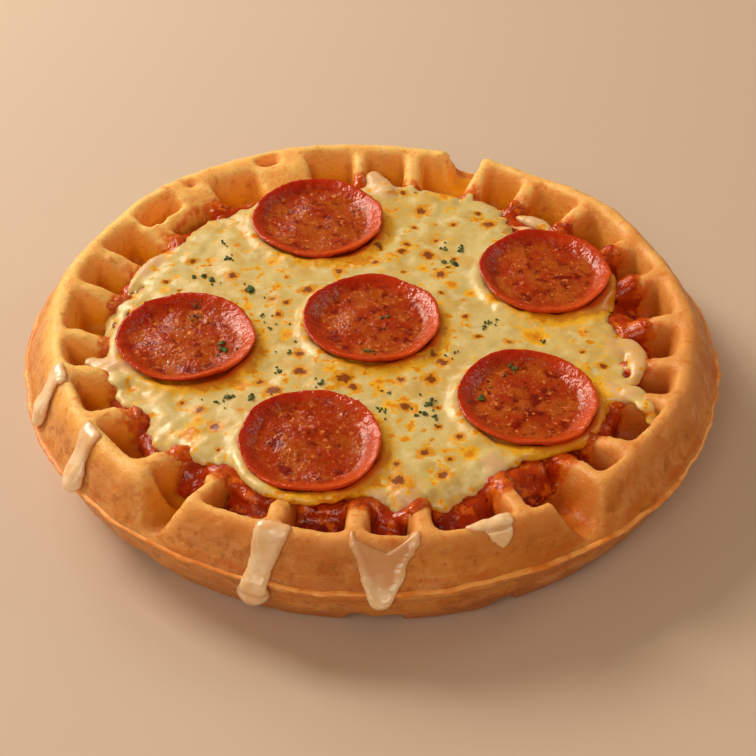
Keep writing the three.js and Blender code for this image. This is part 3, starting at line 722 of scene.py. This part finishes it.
def lay_strand(shape, route, lowest, *grounds):
    """Lays a soft rope along a route of places and half widths, on what lies highest under it."""
    for start, end in zip(route, route[1:]):
        start, end = Vector(start) * MM, Vector(end) * MM
        steps = max(1, round((end - start).xy.length / STRAND_STEP))
        for step in range(steps + 1):
            x, y, size = start.lerp(end, step / steps)
            lay_blob(shape, (x, y, max(lowest, drop(x, y, *grounds)) + 0.1 * size), size, STRAND_FLAT)


cheese = solid_copy("cheese")
for degrees in range(0, 360, LOBE_STEP):
    near = [SHEET_REACH[(degrees + step) % 360] for step in range(-LOBE_STEP, LOBE_STEP + 1)]
    turn = math.radians(degrees)
    for inwards in LOBE_ROWS:
        out = sum(near) / len(near) - inwards * MM
        x, y = out * math.cos(turn), out * math.sin(turn)
        size = draw.uniform(1.5, 2.4) * MM
        flat = 0.6 if 200 < degrees < 330 else 0.4
        lay_blob(cheese, (x, y, drop(x, y, CRUST_SURFACE, SAUCE_SURFACE, SHEET) - 0.1 * size), size, flat)
for x, y, size in TONGUES:
    x, y, size = x * MM, y * MM, size * MM
    height = max(TONGUE_LOWEST * MM, drop(x, y, CRUST_SURFACE, SAUCE_SURFACE))
    lay_blob(cheese, (x, y, height + 0.1 * size), size, 0.4)
for route in PALE_FOLDS:
    lay_strand(cheese, route, TONGUE_LOWEST * MM, CRUST_SURFACE, SAUCE_SURFACE, SHEET)
for middle, radius in SLICE_PLACES:
    for degrees in range(0, 360, BEAD_STEP):
        turn = math.radians(degrees)
        size = draw.uniform(1.4, 2) * MM
        out = radius + BEAD_GAP
        high = SLICE_FOOT + (0.8 if 130 < degrees < 345 else 0.2) * MM
        lay_blob(cheese, (middle.x + out * math.cos(turn), middle.y + out * math.sin(turn), high), size, 0.8)
cheese = even_skin(cheese, CHEESE_GRAIN)
soften(cheese, 3)
mark_edges(cheese, 10, CHEESE_EDGE)
for vert in cheese.verts:
    place = vert.co.copy()
    swell = CHEESE_BULGE * lumps(place, 7 * MM, 4) + CHEESE_CRUMB * lumps(place, 2.6 * MM, 8)
    vert.co += vert.normal * (CHEESE_SWELL + swell)
note_spots(cheese, "browned", BROWNED_SPOTS, SPOT_REACH)
note_spots(cheese, "pale", [spot for route in PALE_FOLDS for spot in route], PALE_REACH)
amber = note_spots(cheese, "amber", AMBER_SPOTS, SPOT_REACH)
# Orange at the slices' lower right: their oil stain, with a painted glow.
for vert in cheese.verts:
    vert[amber] = max(vert[amber], oil_stain_and_glow(vert.co))
CHEESE_SURFACE = BVHTree.FromBMesh(cheese)
finish_piece("cheese_sheet", cheese, make_cheese(), "cheese", "cheese")

# Cured sausage slices
# Six round slices of cured sausage, laid on the grated cheese. Baking has curled each edge up, so
# that a slice is a shallow bowl, and the oil that ran out shines on its bumpy marbled inside.

SLICE_GRAIN = 0.5 * MM
RIM_SECTORS = 60
FLARE = 0.7
RIM_OUT = 0.3 * MM
RIM_LIFT = 0.9 * MM
HOLLOW_DEPTH = 0.7 * MM
SLICE_SWELL = 0.1 * MM
SLICE_BULGE = 0.25 * MM
SLICE_CRUMB = 0.15 * MM
SLICE_SWAY = 0.6 * MM


def note_rim(shape, middle):
    """Notes each point's nearness to the slice's edge, its share of the painted glow side, and its depth
    below the edge's crest."""
    reach = [0.0] * RIM_SECTORS
    crest = [0.0] * RIM_SECTORS
    polar = []
    for vert in shape.verts:
        x, y = vert.co.x - middle.x, vert.co.y - middle.y
        turn = (math.atan2(y, x) / math.tau % 1) * RIM_SECTORS
        polar.append((turn, math.hypot(x, y)))
        sector = int(turn) % RIM_SECTORS
        reach[sector] = max(reach[sector], polar[-1][1])
        crest[sector] = max(crest[sector], vert.co.z)
    layer = shape.verts.layers.float.new("rim")
    painted_glow_side = shape.verts.layers.float.new("painted_glow_side")
    below = shape.verts.layers.float.new("below")
    for vert, (turn, distance) in zip(shape.verts, polar):
        first = int(turn - 0.5) % RIM_SECTORS
        second = (first + 1) % RIM_SECTORS
        share = (turn - 0.5) % 1
        vert[layer] = distance / (reach[first] * (1 - share) + reach[second] * share)
        vert[below] = crest[first] * (1 - share) + crest[second] * share - vert.co.z
        vert[painted_glow_side] = 0.5 + 0.5 * (vert.co - middle).xy.normalized().dot(GLOW_SIDE)


def make_slice():
    """Marbled red sausage, glowing where the light comes through its thin edge."""
    constants = {"Specular IOR Level": 0.38, "Subsurface Weight": 0.15, "Subsurface Radius": (1, 0.2, 0.06),
                 "Subsurface Scale": 2 * MM}
    material, tree, shader, place = new_material("cured_sausage", constants)
    rim = noted(tree, "rim")
    colour = mottle(tree, seen(164, 48, 2), place, 6 * MM, 0.4, 0.62, seen(176, 80, 16))
    colour = mottle(tree, colour, place, 3.4 * MM, 0.5, 0.66, seen(120, 14, 0))
    colour = mottle(tree, colour, place, 1.5 * MM, 0.58, 0.7, seen(216, 122, 60))
    colour = mottle(tree, colour, stretched(tree, place, 1.3, 1.3, 1), 1.1 * MM, 0.6, 0.7, seen(96, 30, 6))
    uneven_rim = calculate(tree, "ADD", rim, weaken(tree, patches(tree, place, 7 * MM, 0.3, 0.7), 0.08))
    # The edge's colour is a painted glow of light through it, more orange on its lower right side.
    glow = tint(tree, noted(tree, "painted_glow_side"), seen(178, 22, 0), seen(212, 78, 12))
    colour = tint(tree, weaken(tree, ramp(tree, uneven_rim, 0.72, 0.98), 0.85), colour, glow)
    # Orange where the side faces outwards: painted glow.
    facing = add_node(tree, "ShaderNodeNewGeometry").outputs["Normal"]
    upwards = add_node(tree, "ShaderNodeSeparateXYZ", {"Vector": facing}).outputs["Z"]
    colour = tint(tree, ramp(tree, upwards, 0.5, 0.1), colour, seen(206, 66, 14))
    rough = between(tree, patches(tree, place, 2.5 * MM, 0.35, 0.7), 0.14, 0.3)
    link_surface(tree, shader, colour, relief(tree, place, 2.2 * MM, 0.9 * MM, 0.5, 1, 0.5 * MM), rough)
    return material


SLICE = make_slice()
SLICE_SURFACES = []
for number, (which, (middle, radius)) in enumerate(zip(SLICES, SLICE_PLACES)):
    node = "pepperoni_" + which
    shape = even_skin(solid_copy(node), SLICE_GRAIN)
    soften(shape, 3)
    note_rim(shape, middle)
    rim = shape.verts.layers.float["rim"]
    below = shape.verts.layers.float["below"]
    for vert in shape.verts:
        place = vert.co.copy()
        share = vert[rim]
        inner = 1 - step_between(share, 0.75, 0.95)
        swell = inner * SLICE_BULGE * lumps(place, 6 * MM, number) + SLICE_CRUMB * lumps(place, 1.6 * MM, 3)
        vert.co += vert.normal * (SLICE_SWELL + swell) + SLICE_SWAY * sway(place, 9 * MM, number)
        drawn_in = (vert[below] * FLARE - RIM_OUT) * step_between(share, 0.8, 0.95)
        vert.co += ((middle - place).xy.normalized() * drawn_in).to_3d()
        hollow = step_between(share, 0.25, 0.6) * (1 - step_between(share, 0.7, 0.97))
        vert.co.z += RIM_LIFT * step_between(share, 0.7, 1.08) - HOLLOW_DEPTH * hollow
    SLICE_SURFACES.append(BVHTree.FromBMesh(shape))
    finish_piece("slice_" + which, shape, SLICE, "pepperoni", node)

# Cheese run over the rim
# Five runs of molten cheese that crossed the rim and set on the wall, thin where they ran and
# thick at the foot, where the last of the cheese gathered in a bead.

DRIP_GRAIN = 0.5 * MM
DRIP_SWELL = 0.6 * MM
DRIP_BULGE = 0.2 * MM
DRIP_THICK = 1.8 * MM
BARE_DEPTH = 2.4 * MM
WALL_RADIUS = 88 * MM
DRIPS = ["left", "front_left", "front", "fan", "small"]


def note_thickness(shape, full, *grounds):
    """Notes how far each point stands off what it lies on, as a share of a full thickness."""
    layer = shape.verts.layers.float.new("thick")
    for vert in shape.verts:
        vert[layer] = min(1, min(ground.find_nearest(vert.co)[3] for ground in grounds) / full)


def make_pale_cheese():
    """Cream-coloured cheese, darker where it is so thin that the crust shows through."""
    constants = {"Roughness": 0.3, "Coat Weight": 0.35, "Coat Roughness": 0.1, "Subsurface Weight": 0.3,
                 "Subsurface Radius": (1, 0.7, 0.35), "Subsurface Scale": 3 * MM}
    material, tree, shader, place = new_material("pale_cheese", constants)
    colour = mottle(tree, seen(252, 218, 180), place, 4 * MM, 0.4, 0.65, seen(242, 198, 146))
    colour = tint(tree, ramp(tree, noted(tree, "thick"), 0.7, 0.2), colour, seen(228, 160, 106))
    link_surface(tree, shader, colour, relief(tree, place, 2.5 * MM, 1 * MM, 0.3, 0.4, 0.3 * MM))
    return material


def thin_out(shape, middle_share, neck_share, sag):
    """Lets a run lie close to the crust in its neck and between its side edges, and bare at the top
    down to a sagging line."""
    low, high = min(vert.co.z for vert in shape.verts), max(vert.co.z for vert in shape.verts)
    levels = {}
    for vert in shape.verts:
        turn = math.atan2(vert.co.x, -vert.co.y)
        levels.setdefault(round(vert.co.z / MM), []).append(turn)
    spans = {level: (min(turns), max(turns)) for level, turns in levels.items()}
    highest = round(high / MM) - 2
    for vert in shape.verts:
        first, last = spans[min(round(vert.co.z / MM), highest)]
        turn = math.atan2(vert.co.x, -vert.co.y)
        inward = min(turn - first, last - turn) * WALL_RADIUS
        half = (last - first) * WALL_RADIUS / 2
        middle = step_between(inward, 1.2 * MM, 3.2 * MM)
        middle *= step_between(vert.co.z, low + 3 * MM, low + 8 * MM)
        neck = step_between(vert.co.z, low + 4 * MM, low + 0.7 * (high - low))
        share = (1 - middle * (1 - middle_share)) * (1 - neck * (1 - neck_share))
        ground, out = CRUST_SURFACE.find_nearest(vert.co)[:2]
        vert.co = ground.lerp(vert.co, share)
        brink = high - sag * max(0, inward / half) ** 0.7
        bare = step_between(inward, 0.8 * MM, 2 * MM)
        bare *= step_between(vert.co.z, brink - 0.4 * MM, brink + 0.4 * MM)
        vert.co -= out * bare * BARE_DEPTH
    shape.normal_update()


PALE_CHEESE = make_pale_cheese()
for which in DRIPS:
    node = "cheese_drip_" + which
    shape = even_skin(solid_copy(node), DRIP_GRAIN)
    soften(shape, 16 if which == "small" else 10)
    for vert in shape.verts:
        vert.co += vert.normal * (DRIP_SWELL + DRIP_BULGE * lumps(vert.co.copy(), 3 * MM, 5))
    if which == "fan":
        thin_out(shape, 0.5, 0.5, 4 * MM)
    else:
        thin_out(shape, 0.85, 0.5, -9 * MM)
    note_thickness(shape, DRIP_THICK, CRUST_SURFACE)
    finish_piece("drip_" + which, shape, PALE_CHEESE, "cheese_drip", node)

# Strands and scraps of cheese
# Single shreds that fell beside the sheet and melted into pale soft ropes: one over the ribs at the
# back right, two where the runs on the left start, and one on the rim above the small run.

SCRAP_GRAIN = 0.5 * MM
SCRAP_BULGE = 0.5 * MM
SCRAP_THICK = 1.4 * MM
STRANDS = [
    ((38.4, 47, 1), (41.4, 46, 1.4), (44.4, 44.4, 1)),
    ((-74, -17.1, 1.8), (-72.6, -14.6, 1.8), (-69.6, -13.6, 1.4)),
    ((-75.5, -31, 1.8), (-76.6, -29, 1.4)),
    ((22.6, -77.6, 1.2), (25, -77.2, 1.7), (28, -76.4, 2), (31, -75.2, 2)),
]

scraps = bmesh.new()
for route in STRANDS:
    lay_strand(scraps, route, 0, CRUST_SURFACE, SAUCE_SURFACE, CHEESE_SURFACE)
scraps = even_skin(scraps, SCRAP_GRAIN)
soften(scraps, 3)
for vert in scraps.verts:
    vert.co += vert.normal * SCRAP_BULGE * lumps(vert.co.copy(), 3 * MM, 5)
note_thickness(scraps, SCRAP_THICK, CRUST_SURFACE, SAUCE_SURFACE, CHEESE_SURFACE)
finish_piece("cheese_scraps", scraps, PALE_CHEESE, "cheese")

# Herb flakes
# Dried green leaf, crumbled over the top before baking. The flakes lie where they fell, curled and
# pressed a little into the cheese and the slices, with smaller crumbs beside them.

# Each flake: its place in plan and its length
FLAKES = [
    (-46.2, 17.2, 2.6), (-43, 15.6, 3.2), (-39.7, 26, 2), (-41.8, 33.6, 1.2), (-31.1, 12, 4.4),
    (-28.8, 1.1, 1.2), (-45.9, 2.7, 1.6), (20.4, 26.7, 3.4), (24, 32.6, 2.4), (19.9, 33, 1.6),
    (29.2, -1.2, 2), (30.4, -0.2, 1.2), (-23.5, -21.4, 2.2), (-26, -4.4, 1), (-34, -33.3, 2.6),
    (-28.9, -33.1, 2.4), (-37.2, -34, 1.1), (-12.8, -26.6, 1.6), (14.2, -31, 2.8), (11.5, -37.8, 1.6),
    (13, -36.5, 2), (15.7, -38.3, 2), (4.5, -29, 1), (2, -35.5, 1.4), (3.5, -37, 1.2), (21, -13, 1),
    (43.8, -7, 1.5), (3.8, -0.8, 2.1), (-0.7, -14.2, 1.9), (-38.4, -14, 3.6), (-46, -1.2, 2),
    (35.7, -20, 2.4), (33, -23, 1), (27.3, -32.3, 2.4), (-20.7, -14.1, 1.3),
]
FLAKE_SIDES = 7
FLAKE_THICKNESS = 0.22 * MM
FLAKE_WIDTH = 0.62
FLAKE_CURL = 0.12
FLAKE_FOLD = 0.5
FLAKE_LIFT = 0.25 * MM
CRUMBS_A_FLAKE = 2
LEAVES_A_FLAKE = 3


def make_leaf():
    """Dried leaf, dark green with duller patches."""
    material, tree, shader, place = new_material("dried_leaf", {"Roughness": 0.75})
    colour = mottle(tree, seen(40, 60, 14), place, 1.2 * MM, 0.4, 0.6, seen(92, 108, 36))
    link_surface(tree, shader, colour, relief(tree, place, 0.8 * MM, 0.3 * MM, 0.4, 0.6, 0.2 * MM))
    return material


def lay_flake(shape, x, y, length):
    """One curled scrap of leaf, lying on whatever is highest under it."""
    grounds = [CHEESE_SURFACE, *SLICE_SURFACES]
    spots = [ground.ray_cast(Vector((x, y, SKY)), Vector((0, 0, -1)))[:2] for ground in grounds]
    spots = [spot for spot in spots if spot[0]]
    if not spots:
        return
    rest, lean = max(spots, key=lambda spot: spot[0].z)
    turn = Matrix.Rotation(draw.uniform(0, math.tau), 4, "Z")
    tilt = lean.to_track_quat("Z", "Y").to_matrix().to_4x4()
    leaf = bmesh.new()
    bmesh.ops.create_circle(leaf, segments=FLAKE_SIDES, radius=length / 2, cap_ends=True)
    bmesh.ops.poke(leaf, faces=leaf.faces)
    for vert in leaf.verts:
        vert.co *= draw.uniform(0.7, 1.15)
        vert.co.y *= FLAKE_WIDTH
        vert.co.z = FLAKE_CURL * length * draw.uniform(-1, 1) + FLAKE_FOLD * abs(vert.co.y)
    bmesh.ops.solidify(leaf, geom=leaf.faces, thickness=FLAKE_THICKNESS)
    bmesh.ops.recalc_face_normals(leaf, faces=leaf.faces)
    matrix = Matrix.Translation(rest + lean * FLAKE_LIFT) @ tilt @ turn
    bmesh.ops.transform(leaf, matrix=matrix, verts=leaf.verts)
    mesh = bpy.data.meshes.new("leaf")
    leaf.to_mesh(mesh)
    leaf.free()
    shape.from_mesh(mesh)
    bpy.data.meshes.remove(mesh)


herbs = bmesh.new()
for x, y, length in FLAKES:
    for _ in range(LEAVES_A_FLAKE):
        aside = Vector((draw.gauss(0, 0.3), draw.gauss(0, 0.3))) * length
        lay_flake(herbs, (x + aside.x) * MM, (y + aside.y) * MM, draw.uniform(0.5, 0.8) * length * MM)
    for _ in range(CRUMBS_A_FLAKE):
        aside = Vector((draw.gauss(0, 2), draw.gauss(0, 2)))
        lay_flake(herbs, (x + aside.x) * MM, (y + aside.y) * MM, draw.uniform(0.5, 0.9) * MM)
finish_piece("herb_flakes", herbs, make_leaf(), "herbs")

# Floor, light and camera
# A plain pale floor under four soft warm lights: a key from high at the back left, a weaker one from
# the back, a weak one from the right and a broad one from the front, where the camera looks down.

FLOOR_SIZE = 4.0
floor = bmesh.new()
bmesh.ops.create_grid(floor, x_segments=1, y_segments=1, size=FLOOR_SIZE)
floor_mesh = bpy.data.meshes.new("floor")
floor.to_mesh(floor_mesh)
floor.free()
floor_piece = bpy.data.objects.new("floor", floor_mesh)
bpy.context.collection.objects.link(floor_piece)
pale_floor = new_material("pale_floor", {"Roughness": 0.7, "Base Color": seen(206, 186, 168)})[0]
floor_mesh.materials.append(pale_floor)


def soft_light(name, direction, distance, size, power, colour):
    """A square soft box that faces the middle of the waffle."""
    lamp = bpy.data.lights.new(name, "AREA")
    lamp.shape = "SQUARE"
    lamp.size = size
    lamp.energy = power
    lamp.color = colour
    box = bpy.data.objects.new(name, lamp)
    bpy.context.collection.objects.link(box)
    way = Vector(direction).normalized()
    box.location = way * distance
    box.rotation_euler = way.to_track_quat("Z", "Y").to_euler()


soft_light("key", (-0.66, 0.42, 0.62), 1.1, 0.4, 9.0, (1, 0.91, 0.76))
soft_light("window", (-0.42, 0.74, 0.53), 1.2, 0.35, 2.6, (1, 0.92, 0.82))
soft_light("right", (0.75, 0.35, 0.56), 1.3, 0.4, 1.7, (1, 0.9, 0.75))
soft_light("front", (-0.2, -0.72, 0.66), 1.5, 0.7, 6.6, (1, 0.91, 0.77))

world = bpy.data.worlds.new("studio")
world.use_nodes = True
world.node_tree.nodes["Background"].inputs["Color"].default_value = seen(255, 206, 150)
world.node_tree.nodes["Background"].inputs["Strength"].default_value = 0.26
bpy.context.scene.world = world
bpy.context.scene.view_settings.view_transform = "Standard"

CAMERA_PLACE = Vector((1.716, -336.8, 281.5)) * MM
CAMERA_AIM = Vector((1.716, 7.13, 0)) * MM
CAMERA_ROLL = 0.0205
LENS_LENGTH = 77.55
LENS_FRAME = 36
lens = bpy.data.cameras.new("camera")
lens.lens = LENS_LENGTH
lens.sensor_width = LENS_FRAME
lens.clip_start = 10 * MM
camera = bpy.data.objects.new("camera", lens)
bpy.context.collection.objects.link(camera)
camera.location = CAMERA_PLACE
aim = (CAMERA_AIM - CAMERA_PLACE).to_track_quat("-Z", "Y").to_matrix()
camera.rotation_euler = (aim @ Matrix.Rotation(CAMERA_ROLL, 3, "Z")).to_euler()
bpy.context.scene.camera = camera
